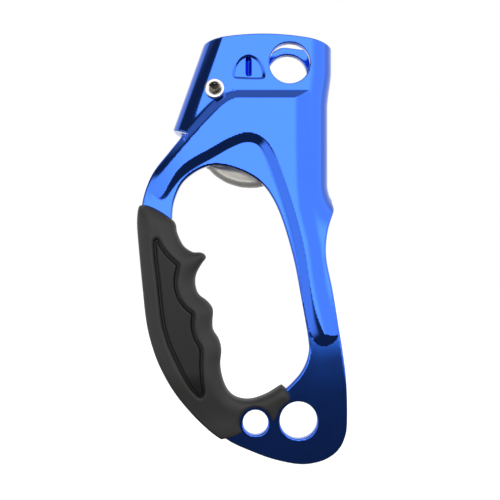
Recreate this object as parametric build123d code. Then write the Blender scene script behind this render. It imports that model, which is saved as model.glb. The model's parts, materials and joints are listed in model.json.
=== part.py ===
"""Left-hand hand ascender: folded aluminium frame, toothed cam with safety trigger, rubber grip.

Millimetres. +X is the rope side, +Z is up, and the smooth face of the frame faces -Y.
The origin is the centre of the large lower eye, half way through the plate.
"""

from build123d import *
import math
import os

# Frame plate
PLATE_T = 4.0
FRONT_Y = -PLATE_T / 2
HEAD_TOP_Z = 175.0
REAR_Y = 21.0
FLANGE_IN_Y = REAR_Y - PLATE_T
RIB_RISE = 2.8
RIB_TAPER = 35.0

# Eyes (centre X, centre Z, radius)
MAIN_EYE = (0.0, 0.0, 8.5)
SMALL_EYE = (-19.5, -1.0, 5.75)
TOP_EYE = (-4.0, 162.0, 9.3)

# Rope channel: a half-round fold, inner radius for ropes of 8 to 13 mm
CHANNEL_R_OUT = 11.5
CHANNEL_R_IN = CHANNEL_R_OUT - PLATE_T
CHANNEL_X = 2.7
CHANNEL_Y = (FRONT_Y + REAR_Y) / 2
CHANNEL_FRONT_LOW_Z = 84.0
CHANNEL_REAR_LOW_Z = 106.0
CHANNEL_START_Z = 60.0
PLATE_CORNER_Z = 112.0
FLANGE_START_Z = 100.0

# Left fold, slanted, with the rear ear
FOLD_ANGLE = 19.7
FOLD_TOP = (-43.9, 171.2)
FOLD_LENGTH = 41.0
FOLD_SPARE = 10.0
FOLD_R_OUT = 9.0
FOLD_R_IN = FOLD_R_OUT - PLATE_T
EAR_R = 9.5
EAR_REACH = 16.0

# Cam and its axle
PIVOT = (-38.0, 150.0)
CAM_Y0, CAM_Y1 = 3.6, 15.4
HUB_Y1 = 10.4
HUB_R = 6.4
BUSH_R = 4.5
SLEEVE_R = 3.5
SCREW_R = 2.5
HEAD_R = 4.45
SOCKET_AF = 4.9
CAM_FACE_C = (-26.0, 128.0)
CAM_FACE_R = 32.2
CAM_FACE_TOP, CAM_FACE_LOW = 32.0, -35.0
TOOTH_H = 1.3
TOOTH_R = 0.95
TOOTH_ROWS = 9
TOOTH_LEAN = 18.0
MUD_SLOT_HALF = 1.1
POCKET_DEPTH = 3.2
CAM_COIL_R, CAM_WIRE = 6.0, 1.2
CAM_LEG_ANGLE = -35.0
COIL_PITCH = 1.04
TRIGGER_COIL_R, TRIGGER_WIRE = 2.75, 0.7

# Trigger and its pin
TRIGGER_PIVOT = (-24.0, 124.0)
PIN_R = 2.0
BOSS_R = 4.4
SLOT_Y0, SLOT_Y1 = 6.9, 12.6
SLOT_R = 6.2
WEB_Y0, WEB_Y1 = 7.0, 10.0
PAD_C = (-22.0, 133.0)
PAD_R_OUT, PAD_R_IN = 26.0, 23.2
PAD_Y0, PAD_Y1 = 3.4, 15.6
PAD_FROM, PAD_TO = -142.0, -72.0

# Grip
GRIP_SIDE_Y = 5.0
GRIP_CREST_Y = 9.0
PANEL_GAP = 0.6
PANEL_T = 1.2
PANEL_SEAT = 1.4

# Holes in the handle bar where the rubber grips it
ANCHOR_R = 2.5
ANCHORS = [(-64.0, 66.0), (-59.5, 42.0)]

# Outlines, as (X, Z)
PLATE_OUTER = [
    (12.4, 80.0), (15.6, 57.9), (19.3, 36.4), (22.0, 8.0), (19.0, -12.0), (0.7, -20.0),
    (-20.4, -14.5), (-32.5, -8.8), (-43.5, 0.8), (-53.0, 12.0), (-61.0, 26.0), (-66.4, 43.4),
    (-69.2, 68.8), (-71.0, 90.0), (-70.3, 100.0), (-65.8, 112.2), (-57.4, 123.1), (-49.2, 129.7),
]
OPENING = [
    (-57.3, 94.1), (-55.8, 101.4), (-51.9, 108.6), (-44.0, 114.2), (-35.8, 115.7), (-25.7, 113.0),
    (-17.6, 108.2), (-12.1, 101.4), (-7.2, 90.5), (-2.0, 72.4), (1.4, 54.3), (4.5, 36.2),
    (4.3, 29.0), (1.2, 21.7), (-5.2, 14.7), (-12.0, 10.5), (-20.0, 8.2), (-28.5, 10.0),
    (-35.0, 15.0), (-41.5, 22.5), (-48.5, 34.0), (-53.0, 50.0), (-55.6, 68.0), (-57.3, 82.0),
]
RIB = [
    (2.0, 149.3), (-26.4, 149.3), (-33.6, 147.3), (-39.7, 142.1), (-48.3, 133.0), (-57.0, 121.5),
    (-63.5, 113.0), (-66.5, 106.5), (-64.5, 102.5), (-60.0, 103.0), (-54.4, 109.0), (-41.9, 117.9),
    (-31.8, 123.1), (-23.7, 126.7), (-17.2, 124.3), (-13.6, 116.2), (-6.9, 97.9), (-1.4, 77.1),
    (2.4, 59.3), (4.9, 45.4), (7.5, 37.5), (12.0, 34.0), (16.0, 37.5), (15.6, 48.0),
    (12.8, 65.0), (10.4, 81.7), (7.0, 96.2), (3.8, 108.8), (2.0, 126.9),
]
GRIP_TOP = [(-71.9, 97.1), (-56.1, 89.6)]
GRIP_FINGERS = [
    (-56.1, 89.6), (-53.6, 80.8), (-48.6, 76.5), (-43.3, 75.7), (-42.2, 73.6), (-45.7, 69.1),
    (-47.2, 62.4), (-45.1, 56.7), (-39.9, 52.5), (-38.7, 48.2), (-39.4, 43.0), (-37.1, 38.3),
    (-35.1, 32.1), (-35.6, 24.0), (-32.6, 14.4), (-28.1, 10.0), (-22.0, 9.2), (-14.2, 11.8),
    (-7.5, 15.9),
]
GRIP_TONGUE = [(-7.5, 15.9), (-3.6, 10.2), (-8.0, 5.4), (-11.0, 0.6), (-12.6, 0.6)]
GRIP_HEEL = [(-26.0, -4.0), (-26.2, -5.8), (-35.1, -8.6)]
GRIP_OUTER = [
    (-35.1, -8.6), (-45.7, 0.0), (-54.9, 10.9), (-63.1, 25.3), (-68.6, 43.4), (-71.3, 68.8),
    (-73.0, 88.7), (-71.9, 97.1),
]
GRIP_CREST = [
    (-68.4, 92.0), (-59.5, 87.0), (-57.2, 79.0), (-51.4, 72.5), (-51.2, 62.0), (-49.0, 54.5),
    (-43.8, 49.0), (-43.3, 42.0), (-40.6, 36.0), (-39.5, 30.0), (-39.6, 21.0), (-36.5, 11.5),
    (-31.5, 5.0), (-32.0, -2.0), (-37.0, -3.0), (-43.5, 3.2), (-51.5, 12.8), (-59.5, 27.0),
    (-64.7, 44.5), (-67.4, 69.0), (-69.0, 84.0),
]
GRIP_EYE_R = 7.3
PANEL = [
    (-63.9, 81.5), (-64.6, 72.5), (-62.4, 54.9), (-59.6, 38.6), (-53.8, 24.4), (-44.4, 11.6),
    (-42.7, 14.4), (-44.2, 25.5), (-44.6, 34.2), (-47.9, 42.8), (-49.6, 50.4), (-55.3, 59.0),
    (-55.2, 70.5), (-60.0, 76.0),
]
CAM_POCKET = [
    (-29.0, 149.5), (-4.5, 142.0), (0.0, 134.0), (-1.0, 121.5), (-13.0, 123.0), (-27.5, 138.0),
]
CAM_LOWER = [(-5.0, 113.5), (-11.0, 117.6), (-24.0, 117.4), (-30.3, 119.8), (-34.0, 131.4)]
REAR_FLANGE_EDGE = [(-15.2, 155.2), (-7.5, 148.0), (-3.4, 141.0), (-3.4, 112.0)]

# Pressed stop above the cam: a half cone, open below
STOP_EDGE = [(-29.6, 155.2), (-15.6, 155.2)]
STOP_APEX = (-23.0, 165.0)
STOP_DEPTH = 4.5
STOP_WALL_Y = 2.0
STOP_WALL_X = 1.6
STOP_TIP_HALF = 1.2


def slab(face, y0, y1, taper=0.0):
    """Extrude a face drawn as (X, Z) from y0 to y1; a taper narrows it towards y0."""
    return extrude(Plane.XZ.offset(-y1) * face, amount=y1 - y0, taper=taper)


def disc(centre, radius, y0, y1):
    """A round bar along Y."""
    return slab(Pos(*centre) * Circle(radius), y0, y1)


def ring(centre, r_out, r_in, y0, y1):
    """A tube along Y."""
    return disc(centre, r_out, y0, y1) - disc(centre, r_in, y0 - 1, y1 + 1)


def closed_face(*lines):
    """A face inside lines that meet end to end."""
    return make_face(Wire([edge for line in lines for edge in line.edges()]))


def smooth(points):
    """A smooth open curve through points."""
    return Spline(*points).edge()


def straight(start, end):
    """A straight edge."""
    return Line(start, end).edge()


def polar(centre, radius, degrees):
    """The point at a radius and an angle from a centre."""
    angle = math.radians(degrees)
    return (centre[0] + radius * math.cos(angle), centre[1] + radius * math.sin(angle))


def sector(centre, r_out, r_in, start, end):
    """A ring segment between two angles."""
    outer = ThreePointArc(*[polar(centre, r_out, a) for a in (start, (start + end) / 2, end)])
    inner = ThreePointArc(*[polar(centre, r_in, a) for a in (end, (start + end) / 2, start)])
    return closed_face(
        outer.edge(),
        straight(polar(centre, r_out, end), polar(centre, r_in, end)),
        inner.edge(),
        straight(polar(centre, r_in, start), polar(centre, r_out, start)),
    )


def fold_direction():
    """Unit vector down the left fold, in X and Z."""
    angle = math.radians(FOLD_ANGLE)
    return (-math.sin(angle), -math.cos(angle))


def fold_point(inward, down):
    """A point so far inward from the fold's outer face and so far down the fold."""
    dx, dz = fold_direction()
    return (FOLD_TOP[0] - dz * inward + dx * down, FOLD_TOP[1] + dx * inward + dz * down)


def plate():
    """The flat of the frame, with the hand opening."""
    top_left = fold_point(FOLD_R_OUT, 2 - FOLD_SPARE)
    low_left = fold_point(FOLD_R_OUT, FOLD_LENGTH)
    outer = smooth(PLATE_OUTER[:-1] + [low_left])
    face = closed_face(
        straight(top_left, (CHANNEL_X, top_left[1])),
        straight((CHANNEL_X, top_left[1]), (CHANNEL_X, PLATE_CORNER_Z)),
        straight((CHANNEL_X, PLATE_CORNER_Z), PLATE_OUTER[0]),
        outer,
        straight(low_left, top_left),
    )
    opening = closed_face(Spline(*OPENING, periodic=True).edge())
    return slab(face, FRONT_Y, -FRONT_Y) - slab(opening, FRONT_Y - 1, -FRONT_Y + 1)


def rib():
    """The raised Y-shaped rib on the front of the plate."""
    face = make_face(Polyline(*RIB, close=True))
    return slab(face, FRONT_Y - RIB_RISE, 0.0, taper=RIB_TAPER)


def rope_channel():
    """The half-round right fold and the flange behind it, with its slanted lower end."""
    section = sector((CHANNEL_X, CHANNEL_Y), CHANNEL_R_OUT, CHANNEL_R_IN, -90, 90)
    fold = extrude(Pos(0, 0, CHANNEL_START_Z) * section, amount=HEAD_TOP_Z - CHANNEL_START_Z)
    x, z, _ = TOP_EYE
    lobe = HEAD_TOP_Z - z
    flange_face = closed_face(
        straight((CHANNEL_X, HEAD_TOP_Z), (x, HEAD_TOP_Z)),
        ThreePointArc(
            (x, HEAD_TOP_Z), polar((x, z), lobe, 150), polar((x, z), lobe, 211)
        ).edge(),
        Polyline(polar((x, z), lobe, 211), *REAR_FLANGE_EDGE, (CHANNEL_X, FLANGE_START_Z)),
        straight((CHANNEL_X, FLANGE_START_Z), (CHANNEL_X, HEAD_TOP_Z)),
    )
    whole = fold + slab(flange_face, FLANGE_IN_Y, REAR_Y)
    below = Polyline(
        (FRONT_Y - 1, CHANNEL_FRONT_LOW_Z),
        (REAR_Y + 1, CHANNEL_REAR_LOW_Z),
        (REAR_Y + 1, CHANNEL_START_Z - 1),
        (FRONT_Y - 1, CHANNEL_START_Z - 1),
        close=True,
    )
    width = CHANNEL_R_OUT + CHANNEL_X + 1
    return whole - extrude(Plane.YZ.offset(-width) * make_face(below), amount=2 * width)


def left_fold():
    """The slanted fold and the rear ear that holds the far end of the cam axle."""
    r_out, r_in = FOLD_R_OUT, FOLD_R_IN
    mid = [(r_out, FRONT_Y + r_out), (r_out, REAR_Y - r_out)]
    front, rear = mid
    section = closed_face(
        ThreePointArc((r_out, FRONT_Y), polar(front, r_out, 225), (0, front[1])).edge(),
        straight((0, front[1]), (0, rear[1])),
        ThreePointArc((0, rear[1]), polar(rear, r_out, 135), (r_out, REAR_Y)).edge(),
        straight((r_out, REAR_Y), (r_out, FLANGE_IN_Y)),
        ThreePointArc((r_out, FLANGE_IN_Y), polar(rear, r_in, 135), (PLATE_T, rear[1])).edge(),
        straight((PLATE_T, rear[1]), (PLATE_T, front[1])),
        ThreePointArc((PLATE_T, front[1]), polar(front, r_in, 225), (r_out, -FRONT_Y)).edge(),
        straight((r_out, -FRONT_Y), (r_out, FRONT_Y)),
    )
    dx, dz = fold_direction()
    start = fold_point(0, -FOLD_SPARE)
    along = Plane(origin=(start[0], 0, start[1]), x_dir=(-dz, 0, dx), z_dir=(dx, 0, dz))
    flipped = mirror(section, about=Plane.XZ) if along.y_dir.Y < 0 else section
    fold = extrude(along * flipped, amount=FOLD_LENGTH + FOLD_SPARE)
    across, down = pivot_on_fold()
    ear_face = make_face(
        Polyline(
            fold_point(r_out, down - EAR_REACH),
            fold_point(across + EAR_R * 0.5, down - EAR_R * 0.86),
            fold_point(across + EAR_R * 0.5, down + EAR_R * 0.86),
            fold_point(r_out, down + EAR_REACH),
            close=True,
        )
    )
    ear = slab(ear_face, FLANGE_IN_Y, REAR_Y) + disc(PIVOT, EAR_R, FLANGE_IN_Y, REAR_Y)
    return fold + ear


def pivot_on_fold():
    """The cam pivot as distances inward from the fold's outer face and down the fold."""
    dx, dz = fold_direction()
    rel = (PIVOT[0] - FOLD_TOP[0], PIVOT[1] - FOLD_TOP[1])
    return (-rel[0] * dz + rel[1] * dx, rel[0] * dx + rel[1] * dz)


def cam_stop(depth, margin):
    """A half cone with a flat lower edge; margin grows it all round."""
    left, right = STOP_EDGE
    base = make_face(
        Polyline(
            (left[0] - margin, left[1]),
            (right[0] + margin, right[1]),
            (STOP_APEX[0], STOP_APEX[1] + 2 * margin),
            close=True,
        )
    )
    middle = (left[0] + right[0]) / 2
    tip = make_face(
        Polyline(
            (middle - STOP_TIP_HALF - margin / 2, left[1]),
            (middle + STOP_TIP_HALF + margin / 2, left[1]),
            (middle, left[1] + STOP_TIP_HALF),
            close=True,
        )
    )
    bottom = Plane.XZ.offset(-FRONT_Y) * base
    top = Plane.XZ.offset(-FRONT_Y - depth) * tip
    return loft([bottom, top])


def build_frame():
    """The folded plate with its pressed rib and stop, its eyes and its holes, in one piece."""
    body = plate() + rib() + rope_channel() + left_fold()
    body -= Pos(0, 0, HEAD_TOP_Z + 20) * Box(300, 100, 40)
    hollow = offset(make_face(Polyline(*RIB, close=True)), amount=-PLATE_T, kind=Kind.INTERSECTION)
    body -= slab(hollow, -0.8, 3.0)
    body += cam_stop(STOP_DEPTH + STOP_WALL_Y, STOP_WALL_X)
    body -= cam_stop(STOP_DEPTH, 0.0)
    for x, z, radius in (MAIN_EYE, SMALL_EYE, TOP_EYE):
        body -= disc((x, z), radius, FRONT_Y - 10, REAR_Y + 10)
    body -= disc(PIVOT, SLEEVE_R + 0.05, FRONT_Y - 10, REAR_Y + 10)
    for anchor in ANCHORS:
        body -= disc(anchor, ANCHOR_R, FRONT_Y - 1, -FRONT_Y + 1)
    return body


def grip_face():
    """The grip's outline, open round the small eye."""
    eye = SMALL_EYE[:2]
    start, end = GRIP_TONGUE[-1], GRIP_HEEL[0]
    return closed_face(
        straight(*GRIP_TOP),
        smooth(GRIP_FINGERS),
        Polyline(*GRIP_TONGUE),
        ThreePointArc(start, polar(eye, GRIP_EYE_R, 100), end).edge(),
        Polyline(*GRIP_HEEL),
        smooth(GRIP_OUTER),
    )


def build_grip(frame):
    """Rubber round the handle bar: a full-outline core and a narrower crest on each side."""
    face = grip_face()
    grip = slab(face, -GRIP_SIDE_Y, GRIP_SIDE_Y)
    crest = closed_face(Spline(*GRIP_CREST, periodic=True))
    grip += slab(crest, -GRIP_CREST_Y, GRIP_CREST_Y)
    seat = make_face(Polyline(*PANEL, close=True))
    for sign in (-1, 1):
        y0, y1 = sorted((sign * (GRIP_CREST_Y - PANEL_SEAT), sign * (GRIP_CREST_Y + 1)))
        grip -= slab(seat, y0, y1)
    return grip - frame


def build_panel(sign):
    """One of the two panels set in the sides of the grip."""
    face = offset(make_face(Polyline(*PANEL, close=True)), amount=-PANEL_GAP)
    y0, y1 = sorted((sign * (GRIP_CREST_Y - PANEL_SEAT), sign * (GRIP_CREST_Y - PANEL_SEAT + PANEL_T)))
    return slab(face, y0, y1)


def build_cam():
    """Toothed cam with a forked lower end for the trigger and a slot that sheds mud."""
    hub_top = polar(PIVOT, HUB_R, 72)
    hub_low = polar(PIVOT, HUB_R, 195)
    top = polar(CAM_FACE_C, CAM_FACE_R, CAM_FACE_TOP)
    low = polar(CAM_FACE_C, CAM_FACE_R, CAM_FACE_LOW)
    face_arc = ThreePointArc(top, polar(CAM_FACE_C, CAM_FACE_R, 0), low).edge()
    outline = closed_face(
        straight(hub_top, top),
        face_arc,
        Polyline(low, *CAM_LOWER, hub_low),
        ThreePointArc(hub_low, polar(PIVOT, HUB_R, 130), hub_top).edge(),
    )
    cam = slab(outline, CAM_Y0, CAM_Y1)
    cam -= disc(PIVOT, HUB_R + 0.6, HUB_Y1, CAM_Y1 + 1)
    cam -= disc(PIVOT, BUSH_R, CAM_Y0 - 1, CAM_Y1 + 1)
    reach = Polyline(
        polar(TRIGGER_PIVOT, SLOT_R, 20),
        (-11.0, 105.0),
        (-48.0, 105.0),
        polar(TRIGGER_PIVOT, SLOT_R, 150),
        close=True,
    )
    cam -= disc(TRIGGER_PIVOT, SLOT_R, SLOT_Y0, SLOT_Y1) + slab(make_face(reach), SLOT_Y0, SLOT_Y1)
    pocket = make_face(Polyline(*CAM_POCKET, close=True))
    cam -= slab(pocket, CAM_Y0 - 1, CAM_Y0 + POCKET_DEPTH)
    cam -= slab(pocket, CAM_Y1 - POCKET_DEPTH, CAM_Y1 + 1)
    cam -= spring_groove()
    cam -= disc(TRIGGER_PIVOT, PIN_R, CAM_Y0 - 1, CAM_Y1 + 1)
    mud = sector(CAM_FACE_C, CAM_FACE_R + 3, CAM_FACE_R - 5, -16, 16)
    cam -= slab(mud, CHANNEL_Y - MUD_SLOT_HALF, CHANNEL_Y + MUD_SLOT_HALF)
    for tooth in cam_teeth():
        cam += tooth
    return cam


def spring_groove():
    """Groove in the cam that holds the front leg of its spring."""
    start = polar(PIVOT, CAM_COIL_R, CAM_LEG_ANGLE + 90)
    end = polar(start, 14.0, CAM_LEG_ANGLE)
    side = (CAM_WIRE + 0.8) / 2
    turns = ((start, 90), (end, 90), (end, -90), (start, -90))
    corners = [polar(at, side, CAM_LEG_ANGLE + turn) for at, turn in turns]
    return slab(make_face(Polyline(*corners, close=True)), HUB_Y1 - 0.6, CAM_Y1 + 1)


def cam_teeth():
    """Rows of small cones over the gripping face, slanted up."""
    teeth = []
    for row in range(TOOTH_ROWS):
        degrees = -30 + 60 * row / (TOOTH_ROWS - 1)
        lanes = (-3.9, 0.0, 3.9) if abs(degrees) > 20 else (-4.0, -2.4, 2.4, 4.0)
        if row % 2 and abs(degrees) <= 20:
            lanes = (-3.2, 3.2)
        root = polar(CAM_FACE_C, CAM_FACE_R - 0.4, degrees)
        angle = math.radians(degrees + TOOTH_LEAN)
        for lane in lanes:
            place = Plane(
                origin=(root[0], CHANNEL_Y + lane, root[1]),
                z_dir=(math.cos(angle), 0, math.sin(angle)),
            )
            cone = Cone(TOOTH_R, 0.15, TOOTH_H + 0.4, align=(Align.CENTER, Align.CENTER, Align.MIN))
            teeth.append(place * cone)
    return teeth


def build_trigger():
    """Safety catch: thumb pad, web and boss, in one casting."""
    pad = slab(sector(PAD_C, PAD_R_OUT, PAD_R_IN, PAD_FROM, PAD_TO), PAD_Y0, PAD_Y1)
    lip_at = polar(PAD_C, (PAD_R_OUT + PAD_R_IN) / 2, PAD_FROM)
    pad += disc(lip_at, 1.9, PAD_Y0, PAD_Y1)
    web_face = Polyline(
        polar(TRIGGER_PIVOT, BOSS_R, 190),
        polar(PAD_C, PAD_R_IN + 1, -112),
        polar(PAD_C, PAD_R_IN + 1, -80),
        polar(TRIGGER_PIVOT, BOSS_R, -20),
        close=True,
    )
    web = slab(make_face(web_face), WEB_Y0, WEB_Y1) + disc(TRIGGER_PIVOT, BOSS_R, WEB_Y0, WEB_Y1)
    return pad + web - disc(TRIGGER_PIVOT, PIN_R + 0.05, PAD_Y0 - 1, PAD_Y1 + 1)


def torsion_spring(centre, rear_y, radius, wire, start, swept, rear_leg, front_leg):
    """Coil from rear to front, clockwise from the front, with a straight leg at each end."""
    pitch = wire * COIL_PITCH
    coil = Helix(pitch=pitch, height=pitch * swept / 360, radius=radius)
    rear, front = coil @ 0 - (coil % 0) * rear_leg, coil @ 1 + (coil % 1) * front_leg
    path = Wire([Line(rear, coil @ 0).edge(), coil.edge(), Line(coil @ 1, front).edge()])
    spring = sweep(Plane(origin=rear, z_dir=coil % 0) * Circle(wire / 2), path=path)
    laid = Plane.XZ.offset(-rear_y) * Pos(*centre) * Rot(0, 0, start)
    return laid * mirror(spring, about=Plane.XZ)


def build_sleeve():
    """Hollow axle with a flange behind the ear."""
    sleeve = disc(PIVOT, SLEEVE_R, FRONT_Y + 0.3, REAR_Y) + disc(PIVOT, 5.6, REAR_Y, REAR_Y + 1.6)
    return sleeve - disc(PIVOT, SCREW_R + 0.05, FRONT_Y - 1, REAR_Y - 5)


def build_screw():
    """Low socket-head screw in the front of the sleeve."""
    head = disc(PIVOT, HEAD_R, FRONT_Y - 1.6, FRONT_Y)
    edge = head.edges().filter_by(GeomType.CIRCLE).sort_by(Axis.Y)[0]
    head = chamfer(edge, 0.4)
    hexagon = Pos(*PIVOT) * RegularPolygon(SOCKET_AF / 2, 6, major_radius=False)
    head -= slab(hexagon, FRONT_Y - 3, FRONT_Y - 0.2)
    return head + disc(PIVOT, SCREW_R, FRONT_Y, REAR_Y - 7)


def build_pin():
    """Trigger pin, pressed in the cam's cheeks."""
    return disc(TRIGGER_PIVOT, PIN_R, CAM_Y0, CAM_Y1)


def build_cam_spring():
    """Closes the cam: the rear leg bears down the left fold, the front one lies in the cam."""
    swept = 3 * 360 + (180 - FOLD_ANGLE) - (CAM_LEG_ANGLE + 90)
    rear_y = HUB_Y1 + 0.1 + CAM_WIRE * (0.5 + COIL_PITCH * swept / 360)
    return torsion_spring(
        PIVOT, rear_y, CAM_COIL_R, CAM_WIRE, 180 - FOLD_ANGLE, swept, rear_leg=13.0, front_leg=12.5
    )


def build_trigger_spring():
    """Returns the trigger: the rear leg bears in the cam's slot, the front one on the pad."""
    start, end = 10.0, 28.0
    swept = 2 * 360 + start - end
    rear_y = WEB_Y1 + 0.15 + TRIGGER_WIRE * (0.5 + COIL_PITCH * swept / 360)
    return torsion_spring(
        TRIGGER_PIVOT, rear_y, TRIGGER_COIL_R, TRIGGER_WIRE, start, swept, rear_leg=4.2, front_leg=12.0
    )


def parts():
    """Every sub-part by its node name."""
    frame = build_frame()
    return {
        "frame": frame,
        "grip": build_grip(frame),
        "grip_panel_front": build_panel(-1),
        "grip_panel_rear": build_panel(1),
        "cam": build_cam(),
        "cam_bush": ring(PIVOT, BUSH_R, SLEEVE_R + 0.05, CAM_Y0, HUB_Y1),
        "cam_washer_front": ring(PIVOT, 4.6, SLEEVE_R + 0.1, -FRONT_Y + 0.1, CAM_Y0 - 0.05),
        "cam_washer_rear": ring(PIVOT, 4.6, SLEEVE_R + 0.1, FLANGE_IN_Y - 0.7, FLANGE_IN_Y - 0.1),
        "cam_axle_sleeve": build_sleeve(),
        "cam_axle_screw": build_screw(),
        "cam_spring": build_cam_spring(),
        "trigger": build_trigger(),
        "trigger_pin": build_pin(),
        "trigger_spring": build_trigger_spring(),
    }


def main():
    os.makedirs("parts", exist_ok=True)
    for name, shape in parts().items():
        export_step(shape, f"parts/{name}.step")
        print(name, len(shape.solids()), round(shape.volume, 1))


main()
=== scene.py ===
"""Looks of the hand ascender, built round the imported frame. Fields and outlines are in
millimetres in the frame's own axes: +X the rope side, +Z up, the smooth face towards -Y."""
import json
import math
from functools import partial

import bpy
import numpy as np
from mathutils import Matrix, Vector


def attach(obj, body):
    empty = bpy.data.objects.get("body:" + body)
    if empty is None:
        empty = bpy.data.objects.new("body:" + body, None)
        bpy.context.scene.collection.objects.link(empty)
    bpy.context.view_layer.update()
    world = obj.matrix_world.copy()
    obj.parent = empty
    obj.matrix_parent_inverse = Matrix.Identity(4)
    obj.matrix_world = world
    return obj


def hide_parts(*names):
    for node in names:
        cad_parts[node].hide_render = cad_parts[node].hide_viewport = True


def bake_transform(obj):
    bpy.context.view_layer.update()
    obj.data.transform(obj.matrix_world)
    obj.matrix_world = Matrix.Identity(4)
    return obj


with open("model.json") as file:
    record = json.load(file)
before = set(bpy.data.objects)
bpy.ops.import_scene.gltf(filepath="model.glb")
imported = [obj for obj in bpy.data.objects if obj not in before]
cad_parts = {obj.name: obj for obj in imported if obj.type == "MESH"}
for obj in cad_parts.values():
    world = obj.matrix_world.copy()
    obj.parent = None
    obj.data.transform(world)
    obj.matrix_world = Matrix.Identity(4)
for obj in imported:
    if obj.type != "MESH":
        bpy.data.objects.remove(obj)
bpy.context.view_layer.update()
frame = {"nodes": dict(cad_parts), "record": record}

MM = 0.001

# Frame plate, rope channel and fold, as in the design
PLATE_T = 4.0
FRONT_Y, REAR_Y = -2.0, 21.0
HEAD_TOP_Z = 175.0
MID_Y = (FRONT_Y + REAR_Y) / 2
CHANNEL_X, CHANNEL_R = 2.7, 9.5
FOLD_ANGLE, FOLD_TOP, FOLD_LENGTH, FOLD_R = 19.7, (-43.9, 171.2), 41.0, 9.0
RIB_RISE = 2.8
HANDLE_CORE_HALF = 1.9
PIVOT = (-38.0, 150.0)
TRIGGER_PIVOT = (-24.0, 124.0)
MAIN_EYE = (0.0, 0.0, 8.5)
SMALL_EYE = (-19.5, -1.0, 5.75)
TOP_EYE = (-4.0, 162.0, 9.3)
EAR_R, EAR_ROOT, EAR_NECK = 9.5, 16.5, 8.2
AXLE_HOLE_R = 3.55
TRIGGER_WEB_Y = (7.0, 10.0)

# Outlines as (X, Z); a point given twice is a corner
PLATE_OUTLINE = [
    (-33.0, 176.5), (-33.0, 176.5), (20.0, 176.5), (20.0, 176.5), (20.0, 109.0), (20.0, 109.0),
    (15.6, 104.0), (15.9, 101.0), (16.7, 97.8), (16.7, 95.4), (15.4, 92.2), (14.4, 89.6), (13.2, 85.3),
    (12.5, 79.9), (12.5, 74.4), (13.3, 69.0), (15.6, 58.1), (18.3, 41.9), (20.1, 31.0), (21.5, 20.0),
    (22.1, 9.0), (22.0, -3.0), (20.7, -8.8), (18.6, -12.8), (14.8, -16.4), (9.0, -19.0),
    (0.7, -20.0), (-10.3, -18.0), (-20.4, -14.5), (-32.5, -8.8),
    (-43.5, 0.8), (-53.0, 12.0), (-61.0, 26.0), (-66.4, 43.4), (-69.2, 68.8), (-71.0, 90.0),
    (-70.6, 100.0), (-66.3, 111.6), (-58.4, 121.9), (-54.2, 127.0), (-53.0, 128.8), (-53.0, 128.8),
    (-50.4, 130.0), (-50.4, 130.0),
]
OPENING = [
    (-57.3, 94.1), (-55.8, 101.4), (-51.9, 108.6), (-44.0, 114.2), (-35.8, 115.7), (-25.7, 113.0),
    (-17.6, 108.2), (-12.1, 101.4), (-7.2, 90.5), (-2.0, 72.4), (1.4, 54.3), (4.5, 36.2),
    (4.3, 29.0), (1.2, 21.7), (-5.2, 14.7), (-12.0, 10.0), (-20.0, 7.0), (-29.3, 8.4),
    (-36.3, 13.8), (-41.5, 22.5), (-48.5, 34.0), (-53.0, 50.0), (-55.6, 68.0), (-57.3, 82.0),
]
RIB_OUTLINE = [
    (30.0, 149.3), (30.0, 149.3), (-24.0, 149.3), (-28.6, 149.2), (-32.6, 147.9), (-36.2, 145.8),
    (-40.6, 142.0), (-48.3, 133.6), (-58.6, 121.4), (-65.6, 112.0), (-69.0, 104.0), (-68.0, 100.2),
    (-65.0, 98.3), (-61.6, 98.8), (-58.8, 101.4), (-56.2, 105.8), (-52.8, 110.3), (-47.5, 114.6),
    (-38.4, 119.8), (-30.5, 124.3), (-23.7, 126.7),
    (-18.4, 125.3), (-15.0, 120.5), (-10.8, 109.5), (-6.9, 97.9), (-3.6, 86.5), (-0.6, 73.0),
    (1.4, 59.3), (3.4, 45.4), (6.8, 36.7), (12.0, 34.0), (17.4, 38.0), (20.0, 48.0), (30.0, 60.0),
    (30.0, 60.0),
]
# Where the rib ends on the right, as (Z, X)
RIB_RIGHT_FOOT = [
    (34.0, 18.5), (48.0, 16.2), (65.0, 13.4), (80.0, 11.3), (96.2, 7.2), (108.8, 6.2),
    (126.0, 5.9), (150.0, 5.9),
]
REAR_FLANGE = [
    (20.0, 168.0), (20.0, 168.0), (14.0, 169.6), (8.0, 172.4), (2.0, 175.2), (-4.0, 175.6),
    (-10.0, 173.4), (-15.0, 168.6), (-17.4, 161.5), (-15.2, 155.2), (-8.4, 148.4), (-4.6, 142.0),
    (-3.8, 133.0), (-3.8, 114.0), (-1.0, 104.0),
    (4.0, 98.0), (16.8, 94.0), (16.8, 94.0), (16.8, 101.0), (20.0, 109.0), (20.0, 109.0),
]
STOP = [
    (-30.1, 156.4), (-29.6, 159.2), (-28.2, 162.2), (-26.0, 164.6), (-22.6, 165.8), (-19.2, 164.6),
    (-17.0, 162.2), (-15.6, 159.2), (-15.1, 156.4), (-16.0, 154.5), (-19.0, 154.2), (-26.2, 154.4),
    (-29.2, 154.8),
]
# Middle X, middle Z, half length and radius of the upright groove in the stop
STOP_SLOT = (-22.7, 160.4, 3.2, 1.3)


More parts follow.
